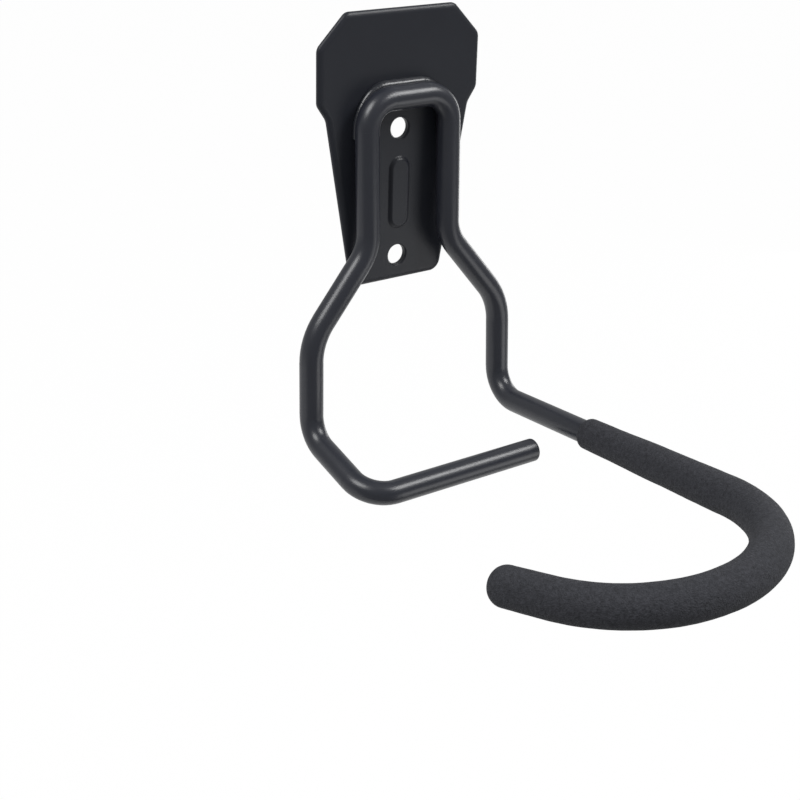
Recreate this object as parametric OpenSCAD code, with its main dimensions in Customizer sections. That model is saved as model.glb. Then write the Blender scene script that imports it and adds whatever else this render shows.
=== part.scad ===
// Wall bike holder: one bent steel bar, welded to a wall plate, with a foam sleeve on its hook.
// X runs right along the wall, +Y goes into the wall and +Z is up, in millimetres.
// The origin lies on the wall, midway between the two screw holes.

/* [Wall plate] */
// Width of the plate's wide head
head_w = 82; // [78:1:100]
// Width of the head's top edge, between its cut corners
top_w = 55; // [40:1:65]
// Height of the head's cut corners
corner_h = 13.5; // [9:0.5:20]
// Height of the head's upright sides
side_h = 23; // [18:0.5:40]
// Height of the shoulders under the head
shoulder_h = 6.5; // [5:0.5:12]
// Width of the tail just under the shoulders
tail_top_w = 73; // [66:1:76]
// Width of the tail at its bottom edge
tail_low_w = 47; // [40:1:60]
// Height of the tail
tail_h = 74; // [68:1:95]
// Thickness of the plate
plate_t = 2.5; // [2:0.1:5]
// Width of the rounded rim that runs round the front
rim_w = 3; // [1:0.25:4]
// Depth of the rounded rim
rim_d = 1.5; // [0.5:0.1:1.5]
// Corner radius of the head
head_r = 4.5; // [4:0.5:7]
// Radius of the inner corners under the shoulders
neck_r = 7; // [3:0.5:10]
// Corner radius of the tail's bottom
tail_r = 5.5; // [4:0.5:9]

/* [Screw holes and pressed rib] */
// Distance between the two screw holes
hole_gap = 56; // [52:1:64]
// Diameter of the screw holes
hole_d = 9; // [5:0.5:10]
// Width of the bevel round the front of each hole
hole_bevel = 0.6; // [0.2:0.1:1]
// Distance from the lower hole to the bottom edge
hole_to_edge = 11; // [9:0.5:16]
// Length of the pressed rib between the holes
rib_len = 32; // [20:1:36]
// Width of the rib at its foot
rib_w = 11; // [8:0.5:14]
// Width of the rib's flat top
rib_top_w = 7.4; // [4:0.2:7.8]
// Height of the rib above the plate
rib_h = 1.2; // [0.8:0.1:2]

/* [Bent bar] */
// Diameter of the coated bar
bar_d = 10.3; // [8:0.1:10.6]
// Distance between the two legs on the plate
leg_gap = 42; // [40:0.5:48]
// Height of the cross piece above the upper hole
cross_rise = 14.5; // [13:0.5:17]
// Centre-line radius of the two bends at the cross piece
cross_r = 12; // [11:0.5:14]
// Gap between bar and plate at the cross piece, which the weld bridges
root_gap = 0.3; // [0.2:0.1:0.6]
// Angle by which the legs lean out from the wall, in degrees
lean = 2.3; // [1:0.1:4]
// Distance from the lower hole up to where the legs start to spread
spread_rise = 8; // [5:0.5:12]
// Height over which the legs spread
spread_h = 35; // [30:1:50]
// Distance between the spread legs
spread_gap = 101; // [90:1:130]
// Further spread of each leg at its foot
splay = 1; // [0:0.25:3]
// Radius of the bends where the legs start to spread
flare_top_r = 20; // [12:1:24]
// Radius of the bends where the spread legs turn down
flare_low_r = 28; // [16:1:30]
// Height of the upright stretch of the left leg
leg_h = 43; // [38:1:70]
// Radius of the bends at the foot of the legs
foot_r = 13.5; // [11:0.5:16]

/* [Tyre rest] */
// Distance from the left leg's foot forward to the tyre rest
rest_out = 44; // [36:1:70]
// Drop from the left leg's foot to the tyre rest
rest_drop = 12; // [6:0.5:20]
// Length of the tyre rest, from the corner bend to its end
rest_len = 89; // [60:0.5:95]
// Rounding of the bar's open end
end_r = 1; // [0.5:0.1:1.5]

/* [Wheel hook] */
// How much lower the right leg ends than the left
arm_drop = 3.8; // [0:0.1:8]
// Length of the straight arm, from the foot's corner to the hook bend
arm_len = 150.5; // [130:0.5:200]
// Upward slope of the arm, in degrees
arm_rise = 4.75; // [0:0.25:10]
// Inward turn of the arm, in degrees
arm_toe = 2.4; // [0:0.2:6]
// Centre-line radius of the hook
hook_r = 55; // [45:1:70]
// Angle of the hook's bend, in degrees
hook_turn = 157.5; // [130:0.5:165]
// Downward roll of the hook's free side, in degrees
hook_roll = 2.25; // [0:0.25:6]
// Straight length of bar after the hook's bend
hook_end = 10; // [6:0.5:30]

/* [Foam sleeve] */
// Distance from the arm's corner to the sleeve
sleeve_at = 66; // [50:1:110]
// Outer diameter of the sleeve where it starts
sleeve_start_d = 13.8; // [13:0.1:16]
// Outer diameter of the sleeve round the hook
sleeve_d = 16.4; // [15:0.1:20]
// Outer diameter of the sleeve at its closed tip
sleeve_tip_d = 15.6; // [14:0.1:20]
// Rounding of the sleeve's open end
sleeve_lip = 1.5; // [0.5:0.1:1.5]
// Straight length of foam past the end of the bar, up to the round tip
sleeve_cap = 7.5; // [2:0.5:12]
// Depth of the round tip
sleeve_tip = 6; // [4:0.5:8]

/* [Weld] */
// Radius of the weld bead
bead_r = 2.3; // [1.8:0.1:3]
// Distance from the bar's centre line out to the bead's centre
bead_out = 3.8; // [3.5:0.1:5.5]
// How far the bead runs down the legs, below the cross piece
bead_down = 25; // [16:1:34]

/* [Hidden] */
$fn = 64;

// Steps round each corner of the plate, across its rim, and round the sleeve's two ends
corner_steps = 3;
rim_steps = 5;
lip_steps = 4;
tip_steps = 8;
// Cuts run past the faces by this much, and the sleeve's bore is this much wider than the bar
overrun = 1;
sleeve_fit = 0.1;
// Small bevel round the plate's back
back_edge = 0.4;
// The bar draws in by this much where it is bent, and each bend starts this far inside its straights
bend_draw = 0.03;
bend_lap = 0.2;

// Heights of the plate's corners
plate_low_z = -hole_gap / 2 - hole_to_edge;
neck_z = plate_low_z + tail_h;
side_low_z = neck_z + shoulder_h;
side_high_z = side_low_z + side_h;
plate_top_z = side_high_z + corner_h;

// Corners of the plate's right half, from the bottom up: place across, height and radius
right_corners = [
    [tail_low_w / 2, plate_low_z, tail_r],
    [tail_top_w / 2, neck_z, neck_r],
    [head_w / 2, side_low_z, head_r],
    [head_w / 2, side_high_z, head_r],
    [top_w / 2, plate_top_z, head_r],
];
left_corners = [for (i = [len(right_corners) - 1:-1:0]) let (c = right_corners[i]) [-c[0], c[1], c[2]]];
plate_corners = concat(right_corners, left_corners);

// Main heights of the bar and its distance from the wall, which grows as the legs lean out
bar_r = bar_d / 2;
cross_z = hole_gap / 2 + cross_rise;
cross_y = -plate_t - root_gap - bar_r;
spread_z = -hole_gap / 2 + spread_rise;
spread_low_z = spread_z - spread_h;
foot_z = spread_low_z - leg_h;
arm_z = foot_z - arm_drop;
foot_x = spread_gap / 2 + splay;
rest_y = bar_y(foot_z) - rest_out;
rest_z = foot_z - rest_drop;

// Directions of the arm, of the hook's free side seen from the arm, and of the hook's end
arm_dir = [-sin(arm_toe) * cos(arm_rise), -cos(arm_toe) * cos(arm_rise), sin(arm_rise)];
level_side = [-cos(arm_toe), sin(arm_toe), 0];
hook_side = level_side * cos(hook_roll) - cross(level_side, arm_dir) * sin(hook_roll);
end_dir = hook_side * sin(hook_turn) + arm_dir * cos(hook_turn);

// Corners of the bar's path, from the open end of the tyre rest to the start of the hook
bar_corners = [
    [rest_len - foot_x, rest_y, rest_z],
    [-foot_x, rest_y, rest_z],
    [-foot_x, bar_y(foot_z), foot_z],
    [-spread_gap / 2, bar_y(spread_low_z), spread_low_z],
    [-leg_gap / 2, bar_y(spread_z), spread_z],
    [-leg_gap / 2, cross_y, cross_z],
    [leg_gap / 2, cross_y, cross_z],
    [leg_gap / 2, bar_y(spread_z), spread_z],
    [spread_gap / 2, bar_y(spread_low_z), spread_low_z],
    [foot_x, bar_y(arm_z), arm_z],
    [foot_x, bar_y(arm_z), arm_z] + arm_dir * arm_len,
];
bend_radii = [0, foot_r, foot_r, flare_low_r, flare_top_r, cross_r, cross_r, flare_top_r, flare_low_r, foot_r, 0];
arm_corner = bar_corners[9];
hook_start = bar_corners[10];
hook_centre = hook_start + hook_side * hook_r;
hook_stop = hook_centre - hook_side * hook_r * cos(hook_turn) + arm_dir * hook_r * sin(hook_turn);

// Path of the weld bead over the outside of the cross piece
bead_y = -plate_t;
bead_x = leg_gap / 2 + bead_out;
bead_low_z = cross_z - bead_down;
bead_corners = [
    [-bead_x, bead_y, bead_low_z],
    [-bead_x, bead_y, cross_z + bead_out],
    [bead_x, bead_y, cross_z + bead_out],
    [bead_x, bead_y, bead_low_z],
];
bead_radii = [0, cross_r + bead_out, cross_r + bead_out, 0];

// Distance of the legs' centre line from the wall at a height
function bar_y(z) = cross_y - (cross_z - z) * tan(lean);

// A vector of length one
function unit(v) = v / norm(v);

// Angle by which a path turns at a corner, and how far its bend reaches back from the corner
function turn_at(path, i) = acos(unit(path[i] - path[i - 1]) * unit(path[i + 1] - path[i]));
function reach(path, radii, i) = radii[i] == 0 ? 0 : radii[i] * tan(turn_at(path, i) / 2);

// Normal to the left of the way from a to b, in the plane of the plate
function left_of(a, b) = let (d = unit([b[0] - a[0], b[1] - a[1]])) [-d[1], d[0]];

// Points round one corner of an outline, drawn in by inset
function corner_arc(corners, i, inset) =
    let (
        n = len(corners),
        before = left_of(corners[(i + n - 1) % n], corners[i]),
        after = left_of(corners[i], corners[(i + 1) % n]),
        turn = atan2(before[0] * after[1] - before[1] * after[0], before * after),
        reach_in = (before + after) / (1 + before * after),
        place = [corners[i][0], corners[i][1]],
        r = sign(turn) * corners[i][2]
    )
    [for (k = [0:corner_steps])
        let (
            a = turn * k / corner_steps,
            normal = [before[0] * cos(a) - before[1] * sin(a), before[0] * sin(a) + before[1] * cos(a)]
        )
        place + (reach_in - normal) * r + normal * inset];

// The whole outline, drawn in by inset
function outline(corners, inset) =
    [for (i = [0:len(corners) - 1]) each corner_arc(corners, i, inset)];

// Inset and height of the rings that make the plate's back edge and its rounded rim
rim_rings = concat(
    [[back_edge, 0], [0, back_edge]],
    [for (k = [0:rim_steps])
        let (a = 90 * k / rim_steps)
        [rim_w * (1 - cos(a)), plate_t - rim_d + rim_d * sin(a)]]
);

// A closed solid through rings of one outline
module rounded_plate(corners, rings) {
    n = len(outline(corners, 0));
    points = [for (ring = rings) for (p = outline(corners, ring[0])) [p[0], p[1], ring[1]]];
    sides = [for (j = [0:len(rings) - 2]) for (i = [0:n - 1])
        [j * n + i, (j + 1) * n + i, (j + 1) * n + (i + 1) % n, j * n + (i + 1) % n]];
    back = [for (i = [0:n - 1]) i];
    front = [for (i = [n - 1:-1:0]) (len(rings) - 1) * n + i];
    polyhedron(points, concat(sides, [back], [front]), convexity = 4);
}

// A pressed rib with sloping sides, lying along Y on the XY plane
module pressed_rib() {
    run = rib_len - rib_w;
    for (side = [-1, 1])
        translate([0, side * run / 2, 0])
            cylinder(h = rib_h, d1 = rib_w, d2 = rib_top_w);
    translate([0, run / 2, 0])
        rotate([90, 0, 0])
            linear_extrude(run)
                polygon([[-rib_w / 2, 0], [rib_w / 2, 0], [rib_top_w / 2, rib_h], [-rib_top_w / 2, rib_h]]);
}

// A round rod or cone from one point to another
module rod(from, to, r1, r2) {
    way = to - from;
    translate(from)
        rotate([0, acos(way[2] / norm(way)), atan2(way[1], way[0])])
            cylinder(h = norm(way), r1 = r1, r2 = r2);
}

// A bend round a centre, which starts along way, with the start on the far side from inward
module bend(centre, inward, way, bend_r, turn, r) {
    axis = cross(-inward, way);
    lap = 180 * bend_lap / (PI * bend_r);
    multmatrix([
        [-inward[0], way[0], axis[0], centre[0]],
        [-inward[1], way[1], axis[1], centre[1]],
        [-inward[2], way[2], axis[2], centre[2]],
        [0, 0, 0, 1],
    ])
        rotate([0, 0, -lap])
            rotate_extrude(angle = turn + 2 * lap)
                translate([bend_r, 0])
                    circle(r - bend_draw);
}

// A round bar along a path, with a bend at each inner corner
module bent_rod(path, radii, r) {
    for (i = [0:len(path) - 2]) {
        way = unit(path[i + 1] - path[i]);
        rod(path[i] + way * reach(path, radii, i), path[i + 1] - way * reach(path, radii, i + 1), r, r);
    }
    for (i = [1:len(path) - 2]) {
        way = unit(path[i] - path[i - 1]);
        next = unit(path[i + 1] - path[i]);
        inward = unit(next - (next * way) * way);
        bend(path[i] - way * reach(path, radii, i) + inward * radii[i], inward, way, radii[i], turn_at(path, i), r);
    }
}

// A turned shape from its half profile, standing at a point along way
module turned(at, way, profile) {
    translate(at)
        rotate([0, acos(way[2]), atan2(way[1], way[0])])
            rotate_extrude()
                polygon(profile);
}

// The hook's bend with a tube of one radius
module hook_bend(r) {
    bend(hook_centre, hook_side, arm_dir, hook_r, hook_turn, r);
}

// The bar's bends and straights, up to where the hook's end is cut off square
module bar_body(r) {
    bent_rod(bar_corners, bend_radii, r);
    hook_bend(r);
    rod(hook_stop, hook_stop + end_dir * hook_end, r, r);
}

module wall_plate() {
    color([0.14, 0.14, 0.15])
        rotate([90, 0, 0])
            difference() {
                union() {
                    rounded_plate(plate_corners, rim_rings);
                    translate([0, 0, plate_t])
                        pressed_rib();
                }
                pressed_rib();
                for (side = [-1, 1])
                    translate([0, side * hole_gap / 2, 0]) {
                        translate([0, 0, -overrun])
                            cylinder(h = plate_t + 2 * overrun, d = hole_d);
                        translate([0, 0, plate_t - hole_bevel])
                            cylinder(h = 2 * hole_bevel, d1 = hole_d, d2 = hole_d + 4 * hole_bevel);
                    }
            }
}

module hook_bar() {
    color([0.12, 0.12, 0.13])
        difference() {
            bar_body(bar_r);
            // Rounds the edge of the open end
            translate(bar_corners[0])
                rotate([0, 90, 0])
                    rotate_extrude()
                        difference() {
                            translate([bar_r - end_r, -end_r])
                                square([end_r + overrun, end_r + overrun]);
                            translate([bar_r - end_r, -end_r])
                                circle(end_r);
                        }
        }
}

module weld_bead() {
    color([0.16, 0.16, 0.17])
        difference() {
            union() {
                bent_rod(bead_corners, bead_radii, bead_r);
                for (side = [-1, 1])
                    translate([side * bead_x, bead_y, bead_low_z])
                        sphere(bead_r - bend_draw);
            }
            bent_rod(bar_corners, bend_radii, bar_r);
            // Everything behind the plate's face
            translate([-head_w / 2, -plate_t, plate_low_z])
                cube([head_w, plate_t + bead_r, plate_top_z - plate_low_z]);
        }
}

module foam_sleeve() {
    start = arm_corner + arm_dir * sleeve_at;
    straight = arm_len - sleeve_at;
    bar_stop = hook_stop + end_dir * hook_end;
    start_r = sleeve_start_d / 2;
    tip_r = sleeve_tip_d / 2;
    cap_at = hook_end + sleeve_cap;
    color([0.2, 0.2, 0.21])
        difference() {
            union() {
                turned(start, arm_dir, concat(
                    [[0, 0]],
                    [for (k = [0:lip_steps])
                        let (a = 90 * k / lip_steps)
                        [start_r - sleeve_lip * (1 - sin(a)), sleeve_lip * (1 - cos(a))]],
                    [[sleeve_d / 2, straight], [0, straight]]
                ));
                hook_bend(sleeve_d / 2);
                turned(hook_stop, end_dir, concat(
                    [[0, 0], [sleeve_d / 2, 0]],
                    [for (k = [0:tip_steps])
                        let (a = 90 * k / tip_steps)
                        [tip_r * cos(a), cap_at + sleeve_tip * sin(a)]]
                ));
            }
            rod(start - arm_dir * overrun, hook_start, bar_r + sleeve_fit, bar_r + sleeve_fit);
            hook_bend(bar_r + sleeve_fit);
            rod(hook_stop, bar_stop + end_dir * sleeve_fit, bar_r + sleeve_fit, bar_r + sleeve_fit);
        }
}

wall_plate();
hook_bar();
weld_bead();
foam_sleeve();
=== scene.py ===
# %% [markdown]
# # A wall bike holder, dressed for a product picture
# The imported CAD model gives every size and place. This lesson adds what CAD leaves out: the black
# powder coat, a smooth rolled rim, the small pools of the weld, and the soft foam on the hook.
# We start by loading the model.

# %% Load the imported model
import math

import bmesh
import bpy
from mathutils import Matrix, Vector, noise


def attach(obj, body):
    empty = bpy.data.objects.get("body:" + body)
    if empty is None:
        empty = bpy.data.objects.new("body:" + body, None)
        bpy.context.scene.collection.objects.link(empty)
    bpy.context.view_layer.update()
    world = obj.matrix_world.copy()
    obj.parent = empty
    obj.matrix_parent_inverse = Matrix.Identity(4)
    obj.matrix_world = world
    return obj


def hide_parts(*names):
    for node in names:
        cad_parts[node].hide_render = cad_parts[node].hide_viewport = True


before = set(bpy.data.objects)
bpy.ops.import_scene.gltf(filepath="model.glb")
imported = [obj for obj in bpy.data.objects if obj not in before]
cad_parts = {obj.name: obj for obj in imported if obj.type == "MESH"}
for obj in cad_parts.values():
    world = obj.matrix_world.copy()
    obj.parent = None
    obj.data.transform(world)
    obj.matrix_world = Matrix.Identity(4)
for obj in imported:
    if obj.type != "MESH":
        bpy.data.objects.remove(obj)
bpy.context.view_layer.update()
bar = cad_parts["hook_bar"]
print("nodes:", sorted(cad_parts))

# %% [markdown]
# ## Small helpers
# Blender's shaders work in linear light, while colours are picked in sRGB, so one function turns
# a hex colour into linear numbers. Another adds a shader or geometry node, sets it up and links
# its inputs. Two more build on it, for sums and for mixing two colours. They keep every recipe
# below short enough to read.

# %% Helpers for colours and nodes
def linear(hex_colour):
    """An sRGB hex colour as linear red, green, blue and alpha."""
    parts = [int(hex_colour[i:i + 2], 16) / 255 for i in (1, 3, 5)]
    return [c / 12.92 if c <= 0.04045 else ((c + 0.055) / 1.055) ** 2.4 for c in parts] + [1.0]


def add(tree, kind, inputs=None, **settings):
    """Adds a node, applies its settings, and links or fills its inputs."""
    made = tree.nodes.new(kind)
    for name, value in settings.items():
        setattr(made, name, value)
    for name, value in (inputs or {}).items():
        if isinstance(value, bpy.types.NodeSocket):
            tree.links.new(value, made.inputs[name])
        else:
            made.inputs[name].default_value = value
    return made


def calc(tree, operation, *values):
    """Adds a math node and gives back its result."""
    return add(tree, "ShaderNodeMath", dict(enumerate(values)), operation=operation).outputs[0]


def two_tone(tree, factor, colour, light_colour):
    """Mixes two hex colours by a factor and gives back the colour."""
    inputs = {0: factor, 6: linear(colour), 7: linear(light_colour)}
    return add(tree, "ShaderNodeMix", inputs, data_type="RGBA").outputs[2]


MM = 0.001

# %% [markdown]
# ## The camera
# The photograph was taken from the upper left with a long lens. Camera and holder were fitted
# together to the photograph's edges, which gave these angles, this distance and this lens. The
# picture is square, so a 36 mm sensor fits both ways and the lens needs no shift.

# %% Place the camera
azimuth, elevation, roll = (math.radians(a) for a in (-36.337, 23.654, 1.5))
target = Vector((-38.677, -60.0, -67.082)) * MM
distance, lens = 0.614982, 68.173
back = Vector((
    math.sin(azimuth) * math.cos(elevation),
    -math.cos(azimuth) * math.cos(elevation),
    math.sin(elevation),
))
level_right = Vector((math.cos(azimuth), math.sin(azimuth), 0))
level_up = back.cross(level_right)
right = level_right * math.cos(roll) + level_up * math.sin(roll)
up = back.cross(right)
camera_data = bpy.data.cameras.new("camera")
camera_data.sensor_width = 36
camera_data.lens = lens
camera_data.clip_start = 0.01
camera = bpy.data.objects.new("camera", camera_data)
camera.matrix_world = Matrix.Translation(target + back * distance) @ Matrix(
    (right, up, back)).transposed().to_4x4()
bpy.context.scene.collection.objects.link(camera)
bpy.context.scene.camera = camera
bpy.context.scene.view_settings.view_transform = "Standard"
print("camera at", [round(c, 4) for c in camera.matrix_world.translation])

# %% [markdown]
# ## The path of the hook
# The foam has to follow the bar exactly, so its path is worked out from the same sizes as the
# bar: a straight arm that rises a little and turns in a little, then one wide bend. Writing the
# path once, as a function of the length along it, lets any ring of the foam ask where it belongs.

# %% Sizes of the bar, in millimetres and radians, as in the CAD source
bar_r = 5.15
plate_t = 2.5
leg_gap = 42.0
cross_z = 42.5
cross_r = 12.0
lean = math.radians(2.3)
cross_y = -plate_t - 0.3 - bar_r
foot_x = 51.5
arm_z = -101.8
arm_len = 150.5
arm_rise, arm_toe = math.radians(4.75), math.radians(2.4)
hook_r, hook_turn, hook_roll = 55.0, math.radians(157.5), math.radians(2.25)
hook_end = 10.0

arm_corner = Vector((foot_x, cross_y - (cross_z - arm_z) * math.tan(lean), arm_z))
arm_dir = Vector((
    -math.sin(arm_toe) * math.cos(arm_rise),
    -math.cos(arm_toe) * math.cos(arm_rise),
    math.sin(arm_rise),
))
level_side = Vector((-math.cos(arm_toe), math.sin(arm_toe), 0))
hook_side = level_side * math.cos(hook_roll) - level_side.cross(arm_dir) * math.sin(hook_roll)
hook_start = arm_corner + arm_dir * arm_len
hook_centre = hook_start + hook_side * hook_r


def on_hook(length):
    """Point and direction of the bar's centre line, this far from the arm's corner."""
    if length <= arm_len:
        return arm_corner + arm_dir * length, arm_dir
    turned = min((length - arm_len) / hook_r, hook_turn)
    out = -hook_side * math.cos(turned) + arm_dir * math.sin(turned)
    way = hook_side * math.sin(turned) + arm_dir * math.cos(turned)
    rest = length - arm_len - turned * hook_r
    return hook_centre + out * hook_r + way * rest, way


bend_stop = arm_len + hook_r * hook_turn
bar_stop = bend_stop + hook_end
print("bar ends", round(bar_stop), "mm along the arm and hook")

# %% [markdown]
# ## The foam sleeve
# The real sleeve is a tube of soft closed-cell foam rubber, pushed over the bar and closed at its
# tip, so that the hook doesn't scratch a rim. It is snug where it starts and swells a little in
# the bend. Cloth simulation would only blur such a firm form, so it is built ring by ring along
# the path, as one closed skin: out over the lip, round the domed tip, and back along its bore.
# A little noise moves each point by about a tenth of a millimetre, as extruded foam is never true.

# %% Radii of the sleeve along the path
sleeve_at = 66.0
lip = 1.6
tip_stop = bar_stop + 6.5
tip_r = 7.8
tip_depth = 7.0
blunt = 0.92
# Lengths along the path, and the foam's outer radius at each.
stations = [
    (sleeve_at, 6.9), (80, 7.1), (110, 7.65), (150, 8.1),
    (200, 8.25), (250, 8.15), (290, 7.95), (320, tip_r),
]


def sleeve_r(length):
    """Outer radius of the foam at a length along the path, smoothed between the stations."""
    for (a, ra), (b, rb) in zip(stations, stations[1:]):
        if length <= b:
            t = max(0.0, (length - a) / (b - a))
            t = t * t * (3 - 2 * t)
            return ra + (rb - ra) * t
    return stations[-1][1]


# Each ring has a length along the path, a radius, and the share of the noise it takes.
bore_r = bar_r + 0.12
rings = [
    (sleeve_at + 3.0, bore_r, 0.0),
    (sleeve_at + 0.6, bore_r + 0.02, 0.0),
    (sleeve_at, bore_r + 0.25, 0.0),
]
lip_steps = 7
lip_noise = 0.3
for k in range(lip_steps + 1):
    a = math.pi / 2 * k / lip_steps
    rings.append((
        sleeve_at + lip * (1 - math.cos(a)),
        sleeve_r(sleeve_at) - lip * (1 - math.sin(a)),
        lip_noise,
    ))
ring_step = 0.8
tube_len = tip_stop - sleeve_at - lip
count = int(tube_len / ring_step)
for k in range(1, count + 1):
    length = sleeve_at + lip + tube_len * k / count
    rings.append((length, sleeve_r(length), 1.0))
dome_steps = 14
for k in range(1, dome_steps):
    a = math.pi / 2 * k / dome_steps
    rings.append((
        tip_stop + tip_depth * math.sin(a) ** blunt, tip_r * math.cos(a) ** blunt, 1.0))
print(len(rings), "rings of foam")

# %% Build the skin
# The same turns round a ring serve the foam here and the screw holes later.
segments = 96
turns = [2 * math.pi * k / segments for k in range(segments)]
# Width and height of each wave of noise, in millimetres.
noise_waves = ((14.0, 0.10), (3.2, 0.045), (1.1, 0.022))
bore_stop = bar_stop + 0.3
bore_low = sleeve_at + 3.4
bore_step = 2.5


def ring_frame(length):
    """Centre of a ring and the two directions across it."""
    centre, way = on_hook(length)
    across = way.cross(hook_side.cross(arm_dir)).normalized()
    return centre, across, way.cross(across)


mesh = bmesh.new()
loops = []
for length, r, rough in rings:
    centre, across, over = ring_frame(length)
    loop = []
    for a in turns:
        out = across * math.cos(a) + over * math.sin(a)
        place = centre + out * r
        wave = sum(noise.noise(place / width) * height for width, height in noise_waves)
        loop.append(mesh.verts.new((place + out * wave * rough) * MM))
    loops.append(loop)
outer_count = len(loops)
length = bore_stop
while length > bore_low:
    centre, across, over = ring_frame(length)
    loops.append([
        mesh.verts.new((centre + (across * math.cos(a) + over * math.sin(a)) * bore_r) * MM)
        for a in turns
    ])
    length -= bore_step


def skin(one, two):
    """Joins two rings with a band of faces."""
    for k in range(segments):
        n = (k + 1) % segments
        mesh.faces.new((one[k], one[n], two[n], two[k]))


for one, two in zip(loops[:outer_count], loops[1:outer_count]):
    skin(one, two)
for one, two in zip(loops[outer_count:], loops[outer_count + 1:]):
    skin(one, two)
skin(loops[-1], loops[0])
ends = ((loops[outer_count - 1], tip_stop + tip_depth), (loops[outer_count], bore_stop))
for loop, length in ends:
    pole = mesh.verts.new(on_hook(length)[0] * MM)
    for k in range(segments):
        mesh.faces.new((loop[k], loop[(k + 1) % segments], pole))
bmesh.ops.recalc_face_normals(mesh, faces=mesh.faces)
foam_mesh = bpy.data.meshes.new("foam_grip")
mesh.to_mesh(foam_mesh)
mesh.free()
foam_mesh.polygons.foreach_set("use_smooth", [True] * len(foam_mesh.polygons))
foam = bpy.data.objects.new("foam_grip", foam_mesh)
bpy.context.scene.collection.objects.link(foam)
print("foam:", len(foam_mesh.polygons), "faces")

# %% [markdown]
# ## The weld
# On the real holder one weld seam runs over the outside of the cross piece and down both legs. It
# stands out over the cross piece and is hardly seen beside the legs, so the path keeps a size for
# each point. A welder lays a seam as a row of small pools, each overlapping the last like a
# pushed-over pile of coins. That follows a path at a fixed step, which is what Geometry Nodes are
# good at: a curve is resampled, its radius swells a little once for each pool, and a round
# profile is swept along.

# %% The weld's path
bead_r = 2.2
bead_lift = 1.1
bead_out, bead_out_low = 4.5, 2.5
bead_down = 16.0
# Beside the legs the bead is slim, and over the cross piece it grows to its full size.
slim, fuller = 0.55, 0.45
arc_steps = 24
half_path = [((leg_gap / 2 + bead_out_low, cross_z - bead_down), slim)]
for k in range(arc_steps + 1):
    a = math.pi / 2 * k / arc_steps
    share = math.sin(a) ** 4
    bead_bend = cross_r + bead_out_low + (bead_out - bead_out_low) * share
    half_path.append(((
        leg_gap / 2 - cross_r + bead_bend * math.cos(a),
        cross_z - cross_r + bead_bend * math.sin(a),
    ), slim + fuller * share))
path_points = [((-x, z), size) for (x, z), size in half_path] + half_path[::-1]
curve_data = bpy.data.curves.new("weld_path", "CURVE")
curve_data.dimensions = "3D"
spline = curve_data.splines.new("POLY")
spline.points.add(len(path_points) - 1)
for point, ((x, z), size) in zip(spline.points, path_points):
    point.co = (x * MM, -(plate_t + bead_lift) * MM, z * MM, 1)
    point.radius = size
weld_path = bpy.data.objects.new("weld_path", curve_data)
bpy.context.scene.collection.objects.link(weld_path)
print("weld path:", len(path_points), "points")

# %% The weld's tree
# A slow noise shifts the pools along the seam and makes some a little fatter than others.
fine_step = 0.2
wander, unevenness = 1.1, 0.16
# Each pool grows from its base size along a power curve, by the pool height.
pool_base, pool_shape = 0.96, 0.6
weld_tree = bpy.data.node_groups.new("stacked weld pools", "GeometryNodeTree")
weld_tree.interface.new_socket("Geometry", in_out="INPUT", socket_type="NodeSocketGeometry")
sizes = {"Bead radius": bead_r * MM, "Pool step": 1.5 * MM, "Pool height": 0.02}
for name, value in sizes.items():
    socket = weld_tree.interface.new_socket(name, in_out="INPUT", socket_type="NodeSocketFloat")
    socket.default_value = value
weld_tree.interface.new_socket("Material", in_out="INPUT", socket_type="NodeSocketMaterial")
weld_tree.interface.new_socket("Geometry", in_out="OUTPUT", socket_type="NodeSocketGeometry")
given = add(weld_tree, "NodeGroupInput")
fine = add(weld_tree, "GeometryNodeResampleCurve", {
    "Curve": given.outputs["Geometry"], "Length": fine_step * MM}, mode="LENGTH")
along = add(weld_tree, "GeometryNodeSplineParameter").outputs["Length"]
pools = calc(weld_tree, "DIVIDE", along, given.outputs["Pool step"])
wobble = add(weld_tree, "ShaderNodeTexNoise", {
    "W": pools, "Scale": 0.35, "Detail": 1.0}, noise_dimensions="1D").outputs[0]
phase = calc(weld_tree, "FRACT", calc(weld_tree, "MULTIPLY_ADD", wobble, wander, pools))
crest = calc(weld_tree, "POWER", phase, pool_shape)
swell = calc(weld_tree, "MULTIPLY_ADD", crest, given.outputs["Pool height"], pool_base)
uneven = calc(weld_tree, "MULTIPLY_ADD", wobble, unevenness, -unevenness / 2)
taper = add(weld_tree, "GeometryNodeInputRadius").outputs[0]
tapered = calc(weld_tree, "MULTIPLY", calc(weld_tree, "ADD", swell, uneven), taper)
radius = calc(weld_tree, "MULTIPLY", tapered, given.outputs["Bead radius"])
profile = add(weld_tree, "GeometryNodeCurvePrimitiveCircle", {"Resolution": 40, "Radius": 1.0})
swept = add(weld_tree, "GeometryNodeCurveToMesh", {
    "Curve": fine.outputs[0], "Profile Curve": profile.outputs[0], "Scale": radius,
    "Fill Caps": True})
real = add(weld_tree, "GeometryNodeRealizeInstances", {"Geometry": swept.outputs[0]})
coated = add(weld_tree, "GeometryNodeSetMaterial", {
    "Geometry": real.outputs[0], "Material": given.outputs["Material"]})
add(weld_tree, "NodeGroupOutput", {"Geometry": coated.outputs[0]})
print(weld_tree.name + ":", len(weld_tree.nodes), "nodes")

# %% [markdown]
# ## The pressed plate
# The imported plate's mesh has a few folded triangles across its flat faces, which show as black
# wedges, and its rim is coarse. So the plate is made again at the same sizes with finer steps. Its
# outline is a list of corners, each with a radius. Rings of that outline, drawn in step by step,
# roll its edge over to the front. The rib is made of rings too. One boolean joins it on, one cuts
# the hollow behind it, and two cut the screw holes.

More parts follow.
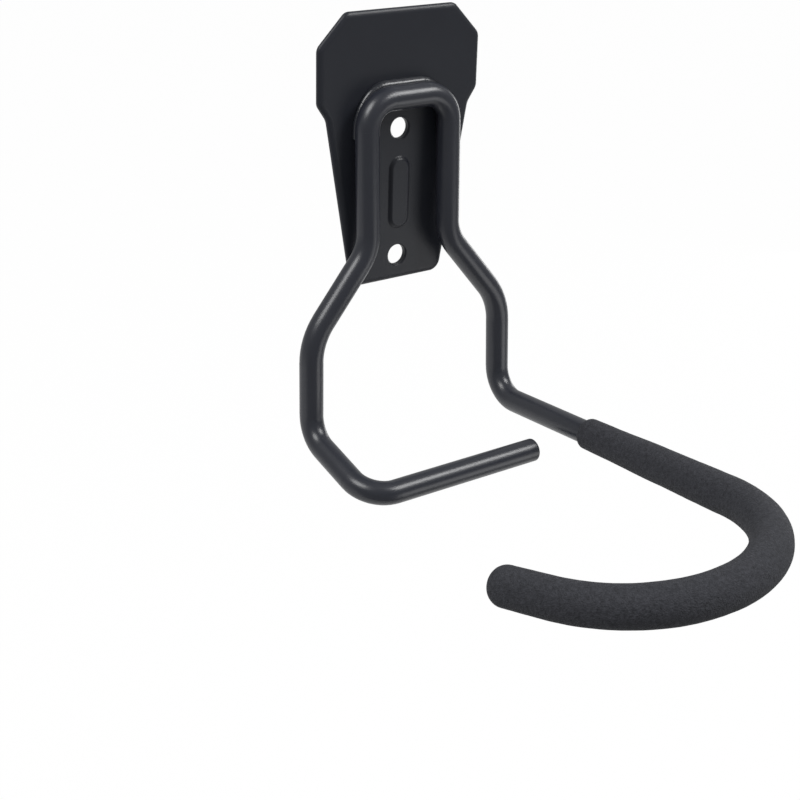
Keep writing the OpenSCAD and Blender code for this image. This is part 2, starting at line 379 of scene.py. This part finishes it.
# %% Outline of the plate, in millimetres, as in the CAD source
head_w, top_w, tail_top_w, tail_low_w = 82.0, 55.0, 73.0, 47.0
hole_gap, hole_d, hole_bevel, hole_to_edge = 56.0, 9.0, 0.6, 11.0
tail_h, shoulder_h, side_h, corner_h = 74.0, 6.5, 23.0, 13.5
rim_w, rim_d, back_edge = 3.0, 1.5, 0.4
head_r, neck_r, tail_r = 4.5, 7.0, 5.5
rib_len, rib_w, rib_top_w, rib_h = 32.0, 11.0, 7.4, 1.2

heights = [-hole_gap / 2 - hole_to_edge]
for rise in (tail_h, shoulder_h, side_h, corner_h):
    heights.append(heights[-1] + rise)
half_widths = (tail_low_w / 2, tail_top_w / 2, head_w / 2, head_w / 2, top_w / 2)
radii = (tail_r, neck_r, head_r, head_r, head_r)
right_side = [(Vector((w, z)), r) for w, z, r in zip(half_widths, heights, radii)]
left_side = [(Vector((-corner.x, corner.y)), r) for corner, r in reversed(right_side)]
corners = right_side + left_side
corner_steps = 12
slot_steps = 64


def outline(inset):
    """The plate's outline drawn in by inset, with each corner as an arc."""
    points = []
    for i, (corner, r) in enumerate(corners):
        before = (corner - corners[i - 1][0]).normalized()
        after = (corners[(i + 1) % len(corners)][0] - corner).normalized()
        before, after = Vector((-before.y, before.x)), Vector((-after.y, after.x))
        turn = math.atan2(before.x * after.y - before.y * after.x, before.dot(after))
        reach = (before + after) / (1 + before.dot(after))
        for k in range(corner_steps + 1):
            normal = Matrix.Rotation(turn * k / corner_steps, 2) @ before
            points.append(corner + (reach - normal) * math.copysign(r, turn) + normal * inset)
    return points


def stadium(length, width):
    """A long slot shape, upright on the plate's centre line."""
    points = []
    for k in range(slot_steps):
        a = 2 * math.pi * (k + 0.5) / slot_steps
        shift = math.copysign((length - width) / 2, math.sin(a))
        points.append(Vector((width / 2 * math.cos(a), width / 2 * math.sin(a) + shift)))
    return points


def solid(name, rings):
    """A closed solid through rings of points, each at its own distance from the wall."""
    mesh = bmesh.new()
    loops = [
        [mesh.verts.new((p.x * MM, -depth * MM, p.y * MM)) for p in points]
        for points, depth in rings
    ]
    for one, two in zip(loops, loops[1:]):
        for k in range(len(one)):
            mesh.faces.new((one[k], one[k - 1], two[k - 1], two[k]))
    mesh.faces.new(loops[0])
    mesh.faces.new(loops[-1])
    bmesh.ops.recalc_face_normals(mesh, faces=mesh.faces)
    data = bpy.data.meshes.new(name)
    mesh.to_mesh(data)
    mesh.free()
    made = bpy.data.objects.new(name, data)
    bpy.context.scene.collection.objects.link(made)
    return made


print("outline:", len(outline(0)), "points")

# %% Plate, rib and holes
rim_steps = 12
plate_rings = [(outline(back_edge), 0), (outline(0), back_edge)]
for k in range(rim_steps + 1):
    a = math.pi / 2 * k / rim_steps
    depth = plate_t - rim_d + rim_d * math.sin(a)
    plate_rings.append((outline(rim_w * (1 - math.cos(a))), depth))
blank = solid("plate_blank", plate_rings)

rib_steps = 10
skirt = 0.5
shoulder_power = 1.3


def rib_rings(start):
    """Rings of the pressed rib, with soft shoulders, standing on a face at start."""
    rings = [(stadium(rib_len, rib_w), start - skirt)]
    for k in range(rib_steps + 1):
        s = k / rib_steps
        drawn_in = (rib_w - rib_top_w) * s
        height = rib_h * math.sin(s * math.pi / 2) ** shoulder_power
        rings.append((stadium(rib_len - drawn_in, rib_w - drawn_in), start + height))
    return rings


tools = [
    ("UNION", solid("rib", rib_rings(plate_t))),
    ("DIFFERENCE", solid("rib_back", rib_rings(0))),
]
hole_r = hole_d / 2
hole_profile = (
    (hole_r, -1.0),
    (hole_r, plate_t - hole_bevel),
    (hole_r + 2 * hole_bevel, plate_t + hole_bevel),
)
for side in (-1, 1):
    middle = Vector((0, side * hole_gap / 2))
    hole_rings = [
        ([middle + r * Vector((math.cos(a), math.sin(a))) for a in turns], depth)
        for r, depth in hole_profile
    ]
    tools.append(("DIFFERENCE", solid("hole", hole_rings)))
for operation, tool in tools:
    cut = blank.modifiers.new(tool.name, "BOOLEAN")
    cut.operation, cut.object, cut.solver = operation, tool, "EXACT"
sharp_from = math.radians(28)
depsgraph = bpy.context.evaluated_depsgraph_get()
plate_mesh = bpy.data.meshes.new_from_object(blank.evaluated_get(depsgraph), depsgraph=depsgraph)
plate_mesh.polygons.foreach_set("use_smooth", [True] * len(plate_mesh.polygons))
plate_mesh.set_sharp_from_angle(angle=sharp_from)
for made in [blank] + [tool for _, tool in tools]:
    bpy.data.objects.remove(made)
plate = bpy.data.objects.new("pressed_plate", plate_mesh)
bpy.context.scene.collection.objects.link(plate)
weigh = plate.modifiers.new("flat faces lead", "WEIGHTED_NORMAL")
weigh.keep_sharp = True
plate_size = [round(d / MM, 1) for d in plate.dimensions]
print("plate:", len(plate_mesh.polygons), "faces,", plate_size, "mm")

# %% [markdown]
# ## Black powder coat
# Plate, bar and weld are one steel weldment, dusted with polyester powder and baked. The coat is
# near black, smooth enough to carry soft reflections, and has a faint orange peel: shallow waves
# a millimetre or two apart. The flat sheet is a little duller than the bar.

# %% Powder coat
def powder_coat(name, colour, light_colour, roughness, shine, peel):
    """Satin black powder coat: one dielectric layer, with waves as deep as peel, in metres."""
    made = bpy.data.materials.new(name)
    made.use_nodes = True
    tree = made.node_tree
    shader = tree.nodes["Principled BSDF"]
    place = add(tree, "ShaderNodeTexCoord").outputs["Object"]
    cloud = add(tree, "ShaderNodeTexNoise", {"Vector": place, "Scale": 45.0, "Detail": 3.0})
    tones = two_tone(tree, cloud.outputs[0], colour, light_colour)
    tree.links.new(tones, shader.inputs["Base Color"])
    uneven = add(tree, "ShaderNodeTexNoise", {"Vector": place, "Scale": 160.0, "Detail": 2.0})
    rough = add(tree, "ShaderNodeMapRange", {
        "Value": uneven.outputs[0], "To Min": roughness - 0.03, "To Max": roughness + 0.03})
    tree.links.new(rough.outputs[0], shader.inputs["Roughness"])
    waves = add(tree, "ShaderNodeTexNoise", {"Vector": place, "Scale": 700.0, "Detail": 1.0})
    bump = add(tree, "ShaderNodeBump", {"Height": waves.outputs[0], "Strength": 1.0, "Distance": peel})
    tree.links.new(bump.outputs[0], shader.inputs["Normal"])
    shader.inputs["IOR"].default_value = 1.5
    shader.inputs["Specular IOR Level"].default_value = shine
    return made


coat_plate = powder_coat(
    "satin black powder coat on sheet", "#1b1d23", "#202228", roughness=0.38, shine=0.28, peel=0.00001)
coat_bar = powder_coat(
    "satin black powder coat on bar", "#1f2128", "#24262d", roughness=0.32, shine=0.5, peel=0.000002)
coat_weld = powder_coat(
    "satin black powder coat on weld", "#1b1d22", "#1f2126", roughness=0.3, shine=0.6, peel=0.000001)
plate.data.materials.clear()
plate.data.materials.append(coat_plate)
bar.data.materials.clear()
bar.data.materials.append(coat_bar)
print("coats:", [coat.name for coat in (coat_plate, coat_bar, coat_weld)])

# %% Make the weld
modifier = weld_path.modifiers.new("weld", "NODES")
modifier.node_group = weld_tree
for item in weld_tree.interface.items_tree:
    if item.in_out == "INPUT" and item.name == "Material":
        modifier[item.identifier] = coat_weld
depsgraph = bpy.context.evaluated_depsgraph_get()
weld_mesh = bpy.data.meshes.new_from_object(weld_path.evaluated_get(depsgraph), depsgraph=depsgraph)
weld = bpy.data.objects.new("weld_seam", weld_mesh)
bpy.context.scene.collection.objects.link(weld)
bpy.data.objects.remove(weld_path)
weld_size = [round(d / MM, 1) for d in weld.dimensions]
print("weld:", len(weld_mesh.polygons), "faces,", weld_size, "mm")

# %% [markdown]
# ## Foam
# The sleeve is nitrile foam rubber. Its skin is a mass of tiny cells, well under a millimetre
# across, so it hardly shines and looks a shade paler than the coat. A cell pattern gives the
# pores. A fine grain mixes two greys and roughens the skin between the pores.

# %% Foam rubber
foam_skin = bpy.data.materials.new("nitrile foam rubber")
foam_skin.use_nodes = True
tree = foam_skin.node_tree
shader = tree.nodes["Principled BSDF"]
place = add(tree, "ShaderNodeTexCoord").outputs["Object"]
cells = add(tree, "ShaderNodeTexVoronoi", {"Vector": place, "Scale": 1400.0})
grain = add(tree, "ShaderNodeTexNoise", {
    "Vector": place, "Scale": 700.0, "Detail": 3.0, "Roughness": 0.65})
speckle = add(tree, "ShaderNodeMapRange", {
    "Value": grain.outputs[0], "From Min": 0.3, "From Max": 0.7})
tones = two_tone(tree, speckle.outputs[0], "#222327", "#34353a")
tree.links.new(tones, shader.inputs["Base Color"])
shader.inputs["Roughness"].default_value = 0.85
shader.inputs["Specular IOR Level"].default_value = 0.3
relief = calc(tree, "ADD", cells.outputs["Distance"], grain.outputs[0])
pore_depth = 0.25
bump = add(tree, "ShaderNodeBump", {
    "Height": relief, "Strength": 1.0, "Distance": pore_depth * MM})
tree.links.new(bump.outputs[0], shader.inputs["Normal"])
foam_mesh.materials.append(foam_skin)
print(foam_skin.name + ":", len(tree.nodes), "nodes")

# %% [markdown]
# ## Joining the pieces to the model
# Each new piece rides on the model's one body. Plate, foam and weld stand in for their CAD
# solids, which are hidden.

# %% Ride and replace
for piece, node_name, slot_name in (
    (plate, "wall_plate", "coated_plate"),
    (foam, "foam_sleeve", "foam"),
    (weld, "weld_bead", "coated_weld"),
):
    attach(piece, "root")
    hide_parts(node_name)
    print(piece.name, "stands in for", node_name)

# %% [markdown]
# ## Light and background
# The holder was shot on pure white. Black paint shows little but what it mirrors, so the lamps
# hang where the photograph's bends reflect them: one softbox to the left and above, and one to the
# right, above and in front. A weak one low in front brightens the plate, and one at the far right
# draws a thin rim on the outer bend. The world and the floor are plain white where the camera or
# a clear piece looks at them. A reflection sees only a part of that white, because the
# photograph's room was darker in front and below, and diffuse light gets only a dim fill.

# %% World
def seen_directly(tree, mirrored=1.0):
    """One for camera rays and rays through glass, mirrored for reflections, else zero."""
    rays = add(tree, "ShaderNodeLightPath").outputs
    glossy = calc(tree, "MULTIPLY", rays["Is Glossy Ray"], mirrored)
    clear = calc(tree, "MAXIMUM", rays["Is Camera Ray"], rays["Is Transmission Ray"])
    return calc(tree, "MAXIMUM", clear, glossy)


def white_light(tree, strength):
    """White background light of one strength."""
    return add(tree, "ShaderNodeBackground", {
        "Color": (1, 1, 1, 1), "Strength": strength}).outputs[0]


world = bpy.data.worlds.new("white studio")
bpy.context.scene.world = world
world.use_nodes = True
tree = world.node_tree
tree.nodes.clear()
mirrored_front, mirrored_behind, dim_fill = 0.3, 0.5, 0.5
place = add(tree, "ShaderNodeTexCoord").outputs["Generated"]
heading = add(tree, "ShaderNodeSeparateXYZ", {0: place})
room = add(tree, "ShaderNodeMapRange", {
    "Value": heading.outputs["Y"], "From Min": -0.3, "From Max": 0.3,
    "To Min": mirrored_front, "To Max": mirrored_behind})
mirrored = add(tree, "ShaderNodeMixShader", {
    0: add(tree, "ShaderNodeLightPath").outputs["Is Glossy Ray"],
    1: white_light(tree, 1.0),
    2: white_light(tree, room.outputs[0])})
choice = add(tree, "ShaderNodeMixShader", {
    0: seen_directly(tree), 1: white_light(tree, dim_fill), 2: mirrored.outputs[0]})
add(tree, "ShaderNodeOutputWorld", {"Surface": choice.outputs[0]})
print(world.name + ":", len(tree.nodes), "nodes")

# %% Floor
floor_z = -0.32
left_x, right_x, front_y, back_y = -8.0, 8.0, -0.15, 12.0
floor_mesh = bpy.data.meshes.new("floor")
floor_mesh.from_pydata([
    (left_x, front_y, floor_z), (right_x, front_y, floor_z),
    (right_x, back_y, floor_z), (left_x, back_y, floor_z),
], [], [(0, 1, 2, 3)])
floor = bpy.data.objects.new("floor", floor_mesh)
bpy.context.scene.collection.objects.link(floor)
paper = bpy.data.materials.new("white paper roll")
paper.use_nodes = True
tree = paper.node_tree
tree.nodes.clear()
matt = add(tree, "ShaderNodeBsdfDiffuse", {"Color": (0.8, 0.8, 0.8, 1)})
glow = add(tree, "ShaderNodeEmission", {"Color": (1, 1, 1, 1), "Strength": 1.0})
paper_glow, paper_mirrored = 0.98, 0.37
share = calc(tree, "MULTIPLY", seen_directly(tree, paper_mirrored), paper_glow)
both = add(tree, "ShaderNodeMixShader", {0: share, 1: matt.outputs[0], 2: glow.outputs[0]})
add(tree, "ShaderNodeOutputMaterial", {"Surface": both.outputs[0]})
floor_mesh.materials.append(paper)
print("floor at", floor_z, "m")


# %% Lamps
def softbox(name, direction, distance, size, power, aim=(-0.01, -0.08, -0.03)):
    """A flat rectangular lamp that hangs in a direction and faces the holder."""
    data = bpy.data.lights.new(name, "AREA")
    data.shape = "RECTANGLE"
    data.size, data.size_y = size
    data.energy = power
    lamp = bpy.data.objects.new(name, data)
    way = Vector(direction).normalized()
    turn = way.to_track_quat("Z", "Y").to_matrix().to_4x4()
    lamp.matrix_world = Matrix.Translation(Vector(aim) + way * distance) @ turn
    bpy.context.scene.collection.objects.link(lamp)
    print(name, "at", [round(c, 2) for c in lamp.matrix_world.translation])


softbox("left softbox", (-0.62, -0.10, 0.77), 1.1, (0.55, 0.55), 8.5)
softbox("right softbox", (0.54, -0.45, 0.70), 1.1, (0.6, 0.35), 8.5)
softbox("low fill", (0.54, -0.74, -0.42), 0.6, (0.35, 0.25), 0.53, aim=(0.0, 0.0, -0.03))
softbox("right rim", (0.86, 0.42, -0.15), 1.1, (0.25, 0.9), 2.0)
